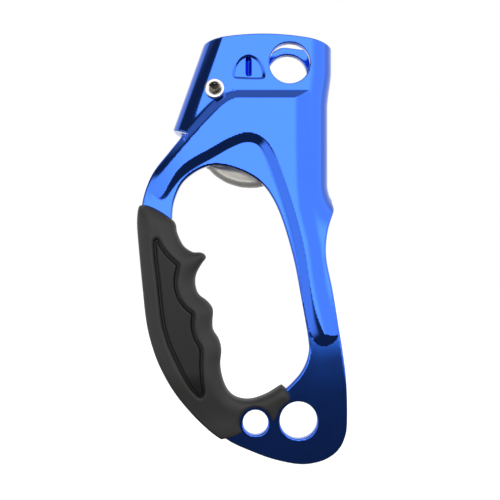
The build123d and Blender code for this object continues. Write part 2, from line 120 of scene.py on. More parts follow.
# ---- Signed distance fields ------------------------------------------------------------------
def spline_loop(points, per_span=6):
    """A closed Catmull-Rom curve through points; a repeated point makes a corner."""
    p = np.array(points, float)
    before, after, beyond = np.roll(p, 1, 0), np.roll(p, -1, 0), np.roll(p, -2, 0)
    t = (np.arange(per_span) / per_span)[None, :, None]
    a, b, c, d = (q[:, None, :] for q in (before, p, after, beyond))
    square, cube = 2 * a - 5 * b + 4 * c - d, 3 * b - a - 3 * c + d
    curve = 0.5 * (2 * b + (c - a) * t + square * t**2 + cube * t**3)
    curve = curve.reshape(-1, 2)
    keep = np.hypot(*(curve - np.roll(curve, -1, 0)).T) > 1e-6
    return curve[keep]


def outline_distance(points, x, z):
    """Distance to a closed outline, negative inside."""
    shape = np.broadcast(x, z).shape
    nearest, inside = np.full(shape, 1e9), np.zeros(shape, bool)
    for (ax, az), (bx, bz) in zip(points, np.roll(points, -1, 0)):
        ex, ez = bx - ax, bz - az
        px, pz = x - ax, z - az
        t = np.clip((px * ex + pz * ez) / (ex * ex + ez * ez), 0, 1)
        nearest = np.minimum(nearest, (px - t * ex) ** 2 + (pz - t * ez) ** 2)
        if ez:
            inside ^= ((pz < 0) != (z < bz)) & (px < pz * ex / ez)
    return np.where(inside, -1, 1) * np.sqrt(nearest)


class Outline:
    """An outline's distance, looked up in a table over the object's own X and Z range."""
    STEP = 0.3

    def __init__(self, points, low=(-82.0, -30.0), high=(32.0, 184.0)):
        self.low = np.array(low)
        xs, zs = (np.arange(low[i], high[i], self.STEP) for i in (0, 1))
        self.table = outline_distance(points, xs[:, None], zs[None, :])

    def softened(self, rounds):
        """The same outline with its table blurred, which rounds the ridge along the middle."""
        soft = object.__new__(Outline)
        soft.low, soft.table = self.low, self.table.copy()
        for _ in range(rounds):
            for axis in (0, 1):
                ahead, behind = np.roll(soft.table, 1, axis), np.roll(soft.table, -1, axis)
                soft.table = 0.25 * (ahead + behind) + 0.5 * soft.table
        return soft

    def __call__(self, x, z):
        u = np.clip((x - self.low[0]) / self.STEP, 0, self.table.shape[0] - 1.001)
        v = np.clip((z - self.low[1]) / self.STEP, 0, self.table.shape[1] - 1.001)
        i, j = u.astype(int), v.astype(int)
        s, t = u - i, v - j
        near = self.table[i, j] * (1 - s) + self.table[i + 1, j] * s
        far = self.table[i, j + 1] * (1 - s) + self.table[i + 1, j + 1] * s
        return near * (1 - t) + far * t


def meet(a, b, radius):
    """Intersection of two fields with a round edge."""
    corner = np.hypot(np.maximum(a + radius, 0), np.maximum(b + radius, 0))
    return np.minimum(-radius, np.maximum(a, b)) + corner


def join(a, b, radius):
    """Union of two fields with a round fillet."""
    return -meet(-a, -b, radius)


def cut(a, b, radius):
    """The first field with the second taken away and the edge rounded."""
    return meet(a, -b, radius)


def soft_clip(t, soft=0.12):
    """0 below 0, 1 above 1, with rounded corners."""
    low = 0.5 * (t + np.sqrt(t * t + soft * soft))
    return 1 - 0.5 * ((1 - low) + np.sqrt((1 - low) ** 2 + soft * soft))


def smooth_step(t):
    """0 to 1 with level ends."""
    t = np.clip(t, 0, 1)
    return t * t * (3 - 2 * t)


def bar(x, z, centre, radius):
    """Distance to an endless round bar along Y."""
    return np.hypot(x - centre[0], z - centre[1]) - radius


# ---- Meshes from fields ----------------------------------------------------------------------
def surface_net(field, low, high, step):
    """Closed quad mesh round the space where the field is negative."""
    axes = [np.arange(low[i], high[i] + step, step) for i in range(3)]
    grid = np.ix_(*axes)
    value = np.broadcast_to(field(*grid), [len(a) for a in axes])
    inside = value < 0
    n = [len(a) - 1 for a in axes]
    count = np.zeros(n, np.int8)
    for offset in np.ndindex(2, 2, 2):
        count += inside[tuple(slice(o, n[i] + o) for i, o in enumerate(offset))]
    active = (count > 0) & (count < 8)
    index = np.full(active.shape, -1, np.int64)
    index[active] = np.arange(active.sum())
    cell = np.argwhere(active)
    total, hits = np.zeros((len(cell), 3)), np.zeros(len(cell))
    quads = []
    for axis in range(3):
        one, two = (axis + 1) % 3, (axis + 2) % 3
        for p, q in np.ndindex(2, 2):
            start = cell.copy()
            start[:, one] += p
            start[:, two] += q
            end = start.copy()
            end[:, axis] += 1
            a, b = value[tuple(start.T)], value[tuple(end.T)]
            crossing = (a < 0) != (b < 0)
            point = start.astype(float)
            point[:, axis] += np.where(crossing, a / np.where(crossing, a - b, 1), 0)
            total += np.where(crossing[:, None], point, 0)
            hits += crossing
        near = [slice(1, -1)] * 3
        near[axis] = slice(0, -1)
        far = list(near)
        far[axis] = slice(1, None)
        a, b = inside[tuple(near)], inside[tuple(far)]
        edge = np.argwhere(a != b)
        outward = a[tuple(edge.T)]
        edge[:, one] += 1
        edge[:, two] += 1
        corners = []
        for p, q in ((-1, -1), (0, -1), (0, 0), (-1, 0)):
            at = edge.copy()
            at[:, one] += p
            at[:, two] += q
            corners.append(index[tuple(at.T)])
        quad = np.stack(corners, 1)
        quad[~outward] = quad[~outward][:, ::-1]
        quads.append(quad)
    points = total / hits[:, None] * step + np.array(low)
    return points, np.concatenate(quads)


def slope(field, points, reach):
    """Gradient of a field at points."""
    out = np.empty_like(points)
    for axis in range(3):
        ahead, behind = points.copy(), points.copy()
        ahead[:, axis] += reach
        behind[:, axis] -= reach
        out[:, axis] = (field(*ahead.T) - field(*behind.T)) / (2 * reach)
    return out


def mesh_from_field(name, field, low, high, step, rounds=4):
    """A piece whose vertices lie on the field's zero and carry its normals."""
    points, quads = surface_net(field, low, high, step)
    for _ in range(rounds):
        gradient = slope(field, points, 0.04)
        square = np.maximum((gradient**2).sum(1), 0.05)
        move = np.clip(field(*points.T) / square, -0.3 * step, 0.3 * step)
        points -= gradient * move[:, None]
    normals = slope(field, points, 0.12)
    normals /= np.maximum(np.linalg.norm(normals, axis=1), 1e-9)[:, None]
    mesh = bpy.data.meshes.new(name)
    mesh.vertices.add(len(points))
    mesh.vertices.foreach_set("co", (points * MM).astype(np.float32).ravel())
    mesh.loops.add(quads.size)
    mesh.loops.foreach_set("vertex_index", quads.astype(np.int32).ravel())
    mesh.polygons.add(len(quads))
    mesh.polygons.foreach_set("loop_start", np.arange(0, quads.size, 4, dtype=np.int32))
    mesh.update(calc_edges=True)
    mesh.validate()
    mesh.polygons.foreach_set("use_smooth", np.ones(len(mesh.polygons), bool))
    mesh.normals_split_custom_set_from_vertices(normals.tolist())
    piece = bpy.data.objects.new(name, mesh)
    bpy.context.scene.collection.objects.link(piece)
    return piece


# ---- Frame -----------------------------------------------------------------------------------
plate_2d = Outline(spline_loop(PLATE_OUTLINE))
opening_2d = Outline(spline_loop(OPENING))
rib_2d = Outline(spline_loop(RIB_OUTLINE))
flange_2d = Outline(spline_loop(REAR_FLANGE))
stop_2d = Outline(spline_loop(STOP))


def head_top(x):
    """Height of the gently arched upper edge."""
    return HEAD_TOP_Z + 0.3 - 0.0042 * (x + 16) ** 2


def fold_axes(x, z):
    """Distance inward from the left fold's outer face, and down the fold."""
    angle = math.radians(FOLD_ANGLE)
    dx, dz = -math.sin(angle), -math.cos(angle)
    rx, rz = x - FOLD_TOP[0], z - FOLD_TOP[1]
    return -rx * dz + rz * dx, rx * dx + rz * dz


PIVOT_ACROSS, PIVOT_DOWN = fold_axes(*PIVOT)


def rib_rise(x, z):
    """How far the pressed rib stands out of the plate's face; it sinks along the left arm."""
    lower = smooth_step((62 - z) / 26)
    arm = np.clip((0.65 * (-28 - x) + 0.76 * (142 - z)) / 55, 0, 1) * smooth_step((-22 - x) / 14)
    arch = smooth_step((137 + 0.7 * np.minimum(x + 24, 0) - z) / 6) * smooth_step((-10 - x) / 6)
    foot_z, foot_x = zip(*RIB_RIGHT_FOOT)
    left = -rib_2d(x, z) / (3.8 - 0.5 * arm - 0.8 * arch + 2.2 * lower)
    right = (np.interp(z, foot_z, foot_x) - x) / (9.0 - 2.0 * lower)
    flat = soft_clip(np.minimum(left, smooth_step(right) * 1.04), 0.25)
    t = np.clip(np.minimum(left, right), 0, 1)
    crowned = np.sqrt(np.maximum(1 - (1 - t) ** 2, 0)) * 0.55 + smooth_step(t) * 0.45
    return RIB_RISE * (flat * (1 - lower) + crowned * lower) * (1 - 0.97 * arm**2.3)


def ear_2d(across, down):
    """Outline of the rear ear in the fold's own axes."""
    circle = np.hypot(across - PIVOT_ACROSS, down - PIVOT_DOWN) - EAR_R
    t = np.clip(across / PIVOT_ACROSS, 0, 1)
    root = np.maximum(np.abs(down - PIVOT_DOWN) - (EAR_ROOT - EAR_NECK * t), across - PIVOT_ACROSS)
    return join(circle, root, 3.0)


def stop_fields(x, y, z):
    """The pressed stop: the metal pushed back, and the arched pocket that is open in front."""
    edge = stop_2d(x, z)
    slot_x, slot_z, half, radius = STOP_SLOT
    groove = np.clip(-bar(x, np.maximum(np.abs(z - slot_z) - half, 0), (slot_x, 0), radius) / radius, 0, 1)
    depth = 1.05 * smooth_step((0.6 - edge) / 2.0) - 0.4 + 3.0 * groove
    boss = np.maximum(np.maximum((y - 1.4 - depth * 0.8) * 0.5, edge - 0.6), -y)
    recess = np.maximum((y - FRONT_Y - depth) * 0.5, edge - 0.6)
    return boss, recess


def channel_field(x, y, py, z):
    """The pressed plate, whose upper right bends round into the rope channel."""
    bend = smooth_step((z - 82) / 26) / CHANNEL_R
    flare = 1.8 * smooth_step((z - 143) / 18)
    px = np.maximum(x - CHANNEL_X - flare, 0)
    m = bend * (px * px + py * py) - 2 * py
    sheet = np.abs(m / (1 + np.sqrt(np.maximum(1 + bend * m, 0)))) - PLATE_T / 2
    front = cut(plate_2d(x, z), opening_2d(x, z), 0.5)
    outline = np.where(y < MID_Y, front, flange_2d(x, z))
    body = meet(sheet, outline, 0.8)
    below = (z - 88 - (y - 4) * 18 / 17) * 0.7
    return cut(body, np.maximum(below, np.maximum(3.5 - y, CHANNEL_X - 6 - x)), 0.8)


def fold_field(x, y, py, z):
    """The left fold, and the ear at its rear that holds the axle."""
    across, down = fold_axes(x, z)
    fold_y = np.where(y < MID_Y, py, y)
    beyond = np.maximum(np.abs(fold_y - MID_Y) - (MID_Y + 2 - FOLD_R), 0)
    wall = np.where(
        across < FOLD_R,
        np.abs(np.hypot(FOLD_R - across, beyond) - (FOLD_R - 2)),
        np.abs(np.abs(fold_y - MID_Y) - 9.5),
    )
    rear = np.minimum(ear_2d(across, down), across - FOLD_R + 1)
    extent = np.where(y > MID_Y, rear, across - FOLD_R - 1.5)
    return meet(meet(wall - PLATE_T / 2, extent, 0.8), down - FOLD_LENGTH, 0.7)


def frame_field(x, y, z):
    """The folded and pressed frame with its holes."""
    py = y + rib_rise(x, z)
    body = np.minimum(channel_field(x, y, py, z), fold_field(x, y, py, z))
    boss, recess = stop_fields(x, y, z)
    body = cut(join(body, boss, 0.3), recess, 0.25)
    body = meet(body, z - head_top(x), 0.6)
    for (cx, cz, radius), edge in ((MAIN_EYE, 0.55), (SMALL_EYE, 0.55), (TOP_EYE, 0.4)):
        body = cut(body, bar(x, z, (cx, cz), radius), edge)
    return cut(body, bar(x, z, PIVOT, AXLE_HOLE_R), 0.3)


def frame_piece():
    """The frame as one mesh in place of the CAD frame."""
    step = 0.575
    low, high = (-75.5, -7.0, -22.5), (24.5, 23.2, 177.0)
    piece = mesh_from_field("ascender_frame", frame_field, low, high, step)
    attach(piece, "frame")
    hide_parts("frame")
    return piece


# ---- Grip ------------------------------------------------------------------------------------
GRIP_OUTLINE = [
    (-72.6, 95.6), (-71.9, 97.3), (-70.0, 97.6), (-66.6, 96.7), (-61.8, 94.2), (-57.2, 90.8),
    (-55.9, 88.6), (-55.4, 85.2), (-52.6, 79.4),
    (-48.2, 76.3), (-44.0, 76.0), (-42.1, 73.9), (-44.2, 70.9), (-46.6, 66.4), (-47.1, 61.8),
    (-45.6, 57.2), (-41.6, 54.0), (-39.0, 50.2), (-39.2, 44.6), (-38.8, 40.7), (-36.3, 36.6),
    (-35.1, 31.6), (-35.6, 24.6), (-34.2, 17.6), (-31.6, 12.6), (-27.6, 9.9), (-21.6, 9.3),
    (-14.2, 11.8), (-7.6, 16.0), (-7.6, 16.0), (-4.3, 12.4), (-3.9, 8.9), (-7.0, 6.7), (-9.2, 3.4),
    (-10.8, 0.2), (-13.5, -0.5), (-18.0, -3.0), (-24.5, -5.0), (-29.0, -7.2), (-35.1, -8.7),
    (-35.1, -8.7), (-40.4, -4.8), (-47.5, 2.0), (-54.9, 10.9), (-60.4, 19.8), (-65.0, 30.0),
    (-68.6, 43.4), (-70.6, 61.0), (-72.2, 78.0), (-73.0, 88.7),
]
PANEL = [
    (-63.6, 81.9), (-62.6, 81.5), (-60.4, 77.8), (-57.4, 74.2), (-53.8, 70.9), (-53.6, 69.4),
    (-54.7, 62.6),
    (-53.4, 56.4), (-50.2, 51.7), (-47.2, 49.2), (-46.8, 47.6), (-47.1, 43.0), (-45.8, 37.8),
    (-43.2, 32.8), (-43.2, 25.5), (-42.8, 19.3), (-42.2, 13.4), (-44.0, 11.2), (-46.1, 12.4),
    (-50.0, 17.5),
    (-56.9, 31.4), (-59.6, 38.6), (-61.4, 46.2), (-63.3, 63.6), (-64.4, 72.5), (-64.8, 80.2),
]
GRIP_EYE_R = 7.3
PANEL_DEEP = 3.2
GRIP_EDGE_Y, GRIP_CREST_Y, GRIP_CROWN = 3.2, 9.0, 7.0
grip_2d = Outline(spline_loop(GRIP_OUTLINE))
grip_soft = grip_2d.softened(60)
panel_2d = Outline(spline_loop(PANEL))


def grip_half(x, z):
    """Half thickness of the rubber: thin at its outline and rolled over to a flat crest."""
    depth = 0.35 - grip_soft(x, z)
    foot = smooth_step((z + 2) / 24)
    t = np.clip(depth / GRIP_CROWN, 0, 1)
    roll = np.sqrt(np.clip(1 - (1 - t) ** 2, 0, 1)) * 0.75 + smooth_step(t) * 0.25
    return GRIP_EDGE_Y + (GRIP_CREST_Y - GRIP_EDGE_Y) * roll * (0.22 + 0.78 * foot)


def grip_field(x, y, z):
    """Rubber handle with two sunk panel seats, hollow where the handle bar runs."""
    half = grip_half(x, z)
    outline = cut(grip_2d(x, z), bar(x, z, SMALL_EYE[:2], GRIP_EYE_R), 0.8)
    body = meet((np.abs(y) - half) * 0.8, outline, 1.6)
    seat = np.maximum(panel_2d(x, z), half - PANEL_DEEP - np.abs(y))
    body = cut(body, seat, 1.5)
    core = np.maximum(plate_2d(x, z), -opening_2d(x, z)) + 0.1
    bar_hole = np.maximum(np.abs(y) - HANDLE_CORE_HALF, core)
    return np.maximum(body, -bar_hole)


def panel_field(sign):
    """A hard panel that sits low in its seat and follows the crown of the grip."""
    def field(x, y, z):
        half = grip_half(x, z)
        side = meet((sign * y - half + 1.3) * 0.9, panel_2d(x, z) + 0.95, 0.9)
        return np.maximum(side, half - PANEL_DEEP + 0.05 - sign * y)
    return field


def grip_pieces():
    """The rubber and its two panels."""
    step = 0.52
    low, high = (-74.5, -10.5, -10.5), (-2.5, 10.5, 99.0)
    pieces = [mesh_from_field("grip_rubber", grip_field, low, high, step)]
    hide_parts("grip")
    for sign, node in ((-1, "grip_panel_front"), (1, "grip_panel_rear")):
        low, high = (-66.5, -9.6, 10.0), (-41.0, -4.0, 83.5)
        if sign > 0:
            low, high = (low[0], 4.0, low[2]), (high[0], 9.6, high[2])
        panel = mesh_from_field(node + "_look", panel_field(sign), low, high, step)
        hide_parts(node)
        pieces.append(panel)
    for piece in pieces:
        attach(piece, "frame")
    return pieces


# ---- Cam and trigger -------------------------------------------------------------------------
CAM_Y0, CAM_Y1, HUB_Y1, HUB_R = 3.6, 15.4, 10.4, 6.4
CAM_FACE_C, CAM_FACE_R = (-26.0, 128.0), 32.2
SLOT_Y0, SLOT_Y1, SLOT_R = 6.9, 12.6, 6.2
PAD_C, PAD_R_OUT, PAD_R_IN = (-22.0, 133.0), 26.0, 23.2
PAD_Y0, PAD_Y1, PAD_FROM, PAD_TO = 3.4, 15.6, -142.0, -72.0
CAM_BODY = [(-5.0, 113.5), (-11.0, 117.6), (-24.0, 117.4), (-30.3, 119.8), (-34.0, 131.4)]
CAM_POCKET = [(-29.0, 149.5), (-4.5, 142.0), (0.0, 134.0), (-1.0, 121.5), (-13.0, 123.0), (-27.5, 138.0)]


def polar(centre, radius, degrees):
    """The point at a radius and an angle from a centre."""
    angle = math.radians(degrees)
    return (centre[0] + radius * math.cos(angle), centre[1] + radius * math.sin(angle))


def cam_outline():
    """Hub, gripping face and heel of the cam."""
    face = [polar(CAM_FACE_C, CAM_FACE_R, a) for a in range(32, -36, -4)]
    hub = [polar(PIVOT, HUB_R, a) for a in range(195, 71, -15)]
    return np.array(face + CAM_BODY + hub)


cam_box = dict(low=(-50.0, 95.0), high=(16.0, 164.0))
cam_2d = Outline(cam_outline(), **cam_box)
pocket_2d = Outline(np.array(CAM_POCKET), **cam_box)
slot_2d = Outline(np.array([polar(TRIGGER_PIVOT, SLOT_R, 20), (-11.0, 105.0), (-48.0, 105.0),
                            polar(TRIGGER_PIVOT, SLOT_R, 150)]), **cam_box)


def slab(y, y0, y1):
    """Distance to the space between two planes across Y."""
    return np.abs(y - (y0 + y1) / 2) - (y1 - y0) / 2


def cam_field(x, y, z):
    """Cast cam: pockets each side, a fork for the trigger and a slot that sheds mud."""
    body = meet(cam_2d(x, z), slab(y, CAM_Y0, CAM_Y1), 0.9)
    pocket = np.maximum(pocket_2d(x, z) + 1.2, 2.6 - np.abs(y - MID_Y))
    body = cut(body, pocket - 0.8, 1.1)
    recess = np.maximum(bar(x, z, PIVOT, HUB_R + 0.6), HUB_Y1 - y)
    body = cut(body, recess, 0.3)
    mouth = np.minimum(bar(x, z, TRIGGER_PIVOT, SLOT_R), slot_2d(x, z))
    fork = np.maximum(mouth, slab(y, SLOT_Y0, SLOT_Y1))
    body = cut(body, fork, 0.5)
    radius = np.hypot(x - CAM_FACE_C[0], z - CAM_FACE_C[1])
    angle = np.degrees(np.arctan2(z - CAM_FACE_C[1], x - CAM_FACE_C[0]))
    trench = np.maximum(CAM_FACE_R - 5 - radius, slab(y, MID_Y - 1.1, MID_Y + 1.1))
    mud = np.maximum((np.abs(angle) - 16) * 0.5, trench)
    body = cut(body, mud, 0.3)
    body = cut(body, groove(x, y, z), 0.3)
    body = cut(body, bar(x, z, TRIGGER_PIVOT, 2.02), 0.2)
    return cut(body, bar(x, z, PIVOT, 4.5), 0.2)


def groove(x, y, z):
    """Groove for the front leg of the cam spring."""
    start = polar(PIVOT, CAM_COIL_R, CAM_LEG_ANGLE + 90)
    angle = math.radians(CAM_LEG_ANGLE)
    along = (x - start[0]) * math.cos(angle) + (z - start[1]) * math.sin(angle)
    across = (z - start[1]) * math.cos(angle) - (x - start[0]) * math.sin(angle)
    flat = np.maximum(np.abs(across) - 1.0, np.abs(along - 7.0) - 7.0)
    return np.maximum(flat, HUB_Y1 - 0.6 - y)


def cam_teeth(cam):
    """Rows of small slanted cones on the gripping face."""
    vertices, faces = [], []
    sides = 14
    for row in range(9):
        degrees = -30 + 60 * row / 8
        lanes = (-3.9, 0.0, 3.9) if abs(degrees) > 20 else (-4.0, -2.4, 2.4, 4.0)
        if row % 2 and abs(degrees) <= 20:
            lanes = (-3.2, 3.2)
        root = polar(CAM_FACE_C, CAM_FACE_R - 0.5, degrees)
        lean = math.radians(degrees + 18)
        out = np.array([math.cos(lean), 0, math.sin(lean)])
        side = np.array([-math.sin(lean), 0, math.cos(lean)])
        for lane in lanes:
            base = np.array([root[0], MID_Y + lane, root[1]])
            first = len(vertices)
            for radius, height in ((1.15, 0.0), (0.92, 0.55), (0.5, 1.3), (0.2, 1.78)):
                for k in range(sides):
                    a = math.tau * k / sides
                    ring = radius * (math.cos(a) * side + math.sin(a) * np.array([0, 1, 0]))
                    vertices.append(base + out * height + ring)
            vertices.append(base + out * 1.86)
            for level in range(3):
                for k in range(sides):
                    a, b = first + level * sides + k, first + level * sides + (k + 1) % sides
                    faces.append((b, a, a + sides, b + sides))
            faces.append(tuple(first + k for k in range(sides)))
            top = first + 3 * sides
            faces += [(top + (k + 1) % sides, top + k, top + sides) for k in range(sides)]
    teeth = plain_mesh("cam_teeth", np.array(vertices), faces)
    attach(teeth, "cam")
    return teeth


def plain_mesh(name, vertices, faces):
    """A smooth-shaded piece from vertices in millimetres."""
    mesh = bpy.data.meshes.new(name)
    mesh.from_pydata((np.asarray(vertices) * MM).tolist(), [], faces)
    mesh.validate()
    mesh.polygons.foreach_set("use_smooth", np.ones(len(mesh.polygons), bool))
    piece = bpy.data.objects.new(name, mesh)
    bpy.context.scene.collection.objects.link(piece)
    return piece


def trigger_field(x, y, z):
    """Safety catch: rounded thumb pad with a lip, a web and the boss round its pin."""
    radius = np.hypot(x - PAD_C[0], z - PAD_C[1])
    angle = np.degrees(np.arctan2(z - PAD_C[1], x - PAD_C[0]))
    middle = (PAD_R_OUT + PAD_R_IN) / 2
    ends = (np.abs(angle - (PAD_FROM + PAD_TO) / 2) - (PAD_TO - PAD_FROM) / 2) * math.radians(middle)
    band = meet(np.abs(radius - middle) - (PAD_R_OUT - PAD_R_IN) / 2, ends, 1.0)
    lip = bar(x, z, polar(PAD_C, middle, PAD_FROM), 1.9)
    shape = join(join(band, lip, 1.0), pad_2d(x, z), 1.5)
    pad = meet(shape, slab(y, PAD_Y0, PAD_Y1), 3.4)
    web = meet(np.maximum(web_2d(x, z), radius - middle), slab(y, *TRIGGER_WEB_Y), 0.3)
    boss = meet(bar(x, z, TRIGGER_PIVOT, 4.4), slab(y, *TRIGGER_WEB_Y), 0.3)
    return cut(join(pad, np.minimum(web, boss), 1.2), bar(x, z, TRIGGER_PIVOT, 2.05), 0.2)


pad_2d = Outline(np.array([
    (-41.0, 116.6), (-27.0, 116.2), (-20.0, 114.8), (-15.0, 112.8), (-12.8, 110.6), (-14.5, 108.6),
    (-19.0, 107.6),
    (-26.0, 107.9), (-33.0, 110.0), (-38.5, 113.6),
]), **cam_box)
web_2d = Outline(np.array([polar(TRIGGER_PIVOT, 4.4, 190), polar(PAD_C, PAD_R_IN + 1, -112),
                           polar(PAD_C, PAD_R_IN + 1, -80), polar(TRIGGER_PIVOT, 4.4, -20)]), **cam_box)


def cam_and_trigger():
    """The two castings on their joints, and the cam's teeth."""
    step = 0.4
    cam = mesh_from_field("cam_casting", cam_field, (-45.5, 3.0, 106.0), (8.0, 16.0, 158.0), step)
    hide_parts("cam")
    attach(cam, "cam")
    low, high = (-46.0, 3.0, 105.5), (-10.0, 16.0, 130.0)
    trigger = mesh_from_field("trigger_casting", trigger_field, low, high, step)
    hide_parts("trigger")
    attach(trigger, "trigger")
    return [cam, trigger, cam_teeth(cam)]


# ---- Fasteners and springs -------------------------------------------------------------------
CAM_COIL_R, CAM_WIRE, CAM_LEG_ANGLE = 6.0, 1.2, -35.0
TRIGGER_COIL_R, TRIGGER_WIRE = 2.75, 0.7
COIL_PITCH = 1.04
# the screw's hex socket starts at this ring; from here its faces are painted dark as shade
SOCKET_SHADE_ROW = 11


def turned(name, centre, rings, sides=72):
    """A turned piece along Y from (radius, y) rings; a ring with "hex" is six-sided, across flats."""
    vertices, faces = [], []
    for radius, y, *kind in rings:
        for k in range(sides):
            a = math.tau * k / sides
            reach = radius
            if kind:
                reach = radius / math.cos((a + math.pi / 6) % (math.pi / 3) - math.pi / 6)
            vertices.append((centre[0] + reach * math.cos(a), y, centre[1] + reach * math.sin(a)))
    for row in range(len(rings) - 1):
        for k in range(sides):
            a, b = row * sides + k, row * sides + (k + 1) % sides
            faces.append((a, a + sides, b + sides, b))
    faces.append(tuple(range(sides)))
    last = (len(rings) - 1) * sides
    faces.append(tuple(last + k for k in range(sides))[::-1])
    piece = plain_mesh(name, vertices, faces)
    piece.data.set_sharp_from_angle(angle=math.radians(38))
    return piece


def darken(piece, material, row, sides=72):
    """A turned piece's faces from one ring onwards wear another material; on the axle screw this is a darker
    steel that paints the shade inside its socket.
    """
    piece.data.materials.append(material)
    faces = piece.data.polygons
    for face in faces:
        face.material_index = int(row * sides <= face.index and face.index != len(faces) - 2)


def fasteners():
    """The socket-head screw in front and the flanged sleeve behind it, both hollow where they are."""
    screw = turned("axle_screw_look", PIVOT, [
        (2.2, 14.0), (2.5, 13.7), (2.5, -1.9), (4.3, -1.95), (4.45, -2.15), (4.45, -3.15),
        (4.38, -3.38), (4.2, -3.54), (3.95, -3.6), (3.05, -3.6), (2.9, -3.52), (2.42, -3.2, "hex"),
        (2.40, -0.8, "hex"), (1.3, -0.2), (0.1, 0.4),
    ])
    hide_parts("cam_axle_screw")
    sleeve = turned("axle_sleeve_look", PIVOT, [
        (2.55, 16.0), (2.55, -1.7), (3.5, -1.7), (3.5, 21.0), (5.3, 21.0), (5.6, 21.3), (5.6, 22.2),
        (5.3, 22.55), (4.9, 22.6), (2.6, 22.6), (2.3, 22.4), (1.9, 21.7), (0.2, 21.5),
    ])
    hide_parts("cam_axle_sleeve")
    for piece in (screw, sleeve):
        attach(piece, "frame")
    return [screw, sleeve]


def tube(name, path, radius, sides=12):
    """A round wire along a path, with rounded ends."""
    path = np.array(path, float)
    tangent = np.gradient(path, axis=0)
    tangent /= np.linalg.norm(tangent, axis=1)[:, None]
    side = np.cross(tangent, [0.0, 1.0, 0.0])
    side /= np.linalg.norm(side, axis=1)[:, None]
    up = np.cross(side, tangent)
    rings = [(path[0] - tangent[0] * radius * 0.4, 0.55, 0)]
    rings += [(p, 1.0, i) for i, p in enumerate(path)]
    rings += [(path[-1] + tangent[-1] * radius * 0.4, 0.55, len(path) - 1)]
    vertices, faces = [], []
    for centre, share, i in rings:
        for k in range(sides):
            a = math.tau * k / sides
            vertices.append(centre + radius * share * (math.cos(a) * side[i] + math.sin(a) * up[i]))
    for r in range(len(rings) - 1):
        for k in range(sides):
            a, b = r * sides + k, r * sides + (k + 1) % sides
            faces.append((a, b, b + sides, a + sides))
    faces.append(tuple(range(sides))[::-1])
    last = (len(rings) - 1) * sides
    faces.append(tuple(last + k for k in range(sides)))
    return plain_mesh(name, vertices, faces)


def torsion_path(centre, rear_y, radius, wire, start, swept, rear_leg, front_leg):
    """Rear leg, coil from rear to front, front leg; clockwise from the front."""
    pitch = wire * COIL_PITCH
    drop = pitch / 360
    turns = np.arange(0, swept + 1e-6, 9.0)
    coil = [(*polar(centre, radius, start - a), rear_y - drop * a) for a in turns]
    coil = [np.array((x, y, z)) for x, z, y in coil]
    slope_y = pitch / (math.tau * radius)
    ends = []
    for at, sign, leg in ((start, 1, rear_leg), (start - swept, -1, front_leg)):
        angle = math.radians(at + 90 * sign)
        way = np.array([math.cos(angle), slope_y * sign, math.sin(angle)])
        anchor = coil[0] if sign > 0 else np.array(
            (polar(centre, radius, at)[0], rear_y - drop * swept, polar(centre, radius, at)[1]))
        ends.append([anchor + way * d for d in np.linspace(leg, 0.6, 8)])
    return ends[0] + coil + ends[1][::-1]


def springs():
    """The two torsion springs, each a round wire along its rear leg, coil and front leg."""
    swept = 3 * 360 + (180 - FOLD_ANGLE) - (CAM_LEG_ANGLE + 90)
    rear_y = HUB_Y1 + 0.1 + CAM_WIRE * (0.5 + COIL_PITCH * swept / 360)
    path = torsion_path(PIVOT, rear_y, CAM_COIL_R, CAM_WIRE, 180 - FOLD_ANGLE, swept, 13.0, 12.5)
    cam_spring = tube("cam_spring_wire", path, CAM_WIRE / 2)
    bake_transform(cam_spring)
    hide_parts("cam_spring")
    swept = 2 * 360 + 10.0 - 28.0
    rear_y = 10.0 + 0.15 + TRIGGER_WIRE * (0.5 + COIL_PITCH * swept / 360)
    path = torsion_path(TRIGGER_PIVOT, rear_y, TRIGGER_COIL_R, TRIGGER_WIRE, 10.0, swept, 4.2, 12.0)
    trigger_spring = tube("trigger_spring_wire", path, TRIGGER_WIRE / 2)
    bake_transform(trigger_spring)
    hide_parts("trigger_spring")
    return [cam_spring, trigger_spring]


# ---- Materials -------------------------------------------------------------------------------
def new_material(name, color, metallic, roughness):
    """A Principled material; returns its node tree and shader too."""
    material = bpy.data.materials.new(name)
    material.use_nodes = True
    tree = material.node_tree
    shader = tree.nodes["Principled BSDF"]
    shader.inputs["Base Color"].default_value = (*color, 1)
    shader.inputs["Metallic"].default_value = metallic
    shader.inputs["Roughness"].default_value = roughness
    return material, tree, shader


def noise(tree, scale, detail=4.0, roughness=0.6):
    """Noise over object coordinates, in features per metre."""
    place = tree.nodes.new("ShaderNodeTexCoord")
    node = tree.nodes.new("ShaderNodeTexNoise")
    node.inputs["Scale"].default_value = scale
    node.inputs["Detail"].default_value = detail
    node.inputs["Roughness"].default_value = roughness
    tree.links.new(place.outputs["Object"], node.inputs["Vector"])
    return node.outputs["Fac"]


def spread(tree, value, low, high):
    """A value between 0 and 1 mapped to a range."""
    node = tree.nodes.new("ShaderNodeMapRange")
    node.inputs["From Min"].default_value = 0.3
    node.inputs["From Max"].default_value = 0.7
    node.inputs["To Min"].default_value = low
    node.inputs["To Max"].default_value = high
    tree.links.new(value, node.inputs["Value"])
    return node.outputs["Result"]


def tint(tree, value, dark, light):
    """A colour between two, by a value."""
    node = tree.nodes.new("ShaderNodeMix")
    node.data_type = "RGBA"
    node.inputs["A"].default_value = (*dark, 1)
    node.inputs["B"].default_value = (*light, 1)
    tree.links.new(value, node.inputs["Factor"])
    return node.outputs["Result"]


def bump(tree, shader, value, strength, distance):
    """A value pressed into the surface as fine relief."""
    node = tree.nodes.new("ShaderNodeBump")
    node.inputs["Strength"].default_value = strength
    node.inputs["Distance"].default_value = distance
    tree.links.new(value, node.inputs["Height"])
    tree.links.new(node.outputs["Normal"], shader.inputs["Normal"])


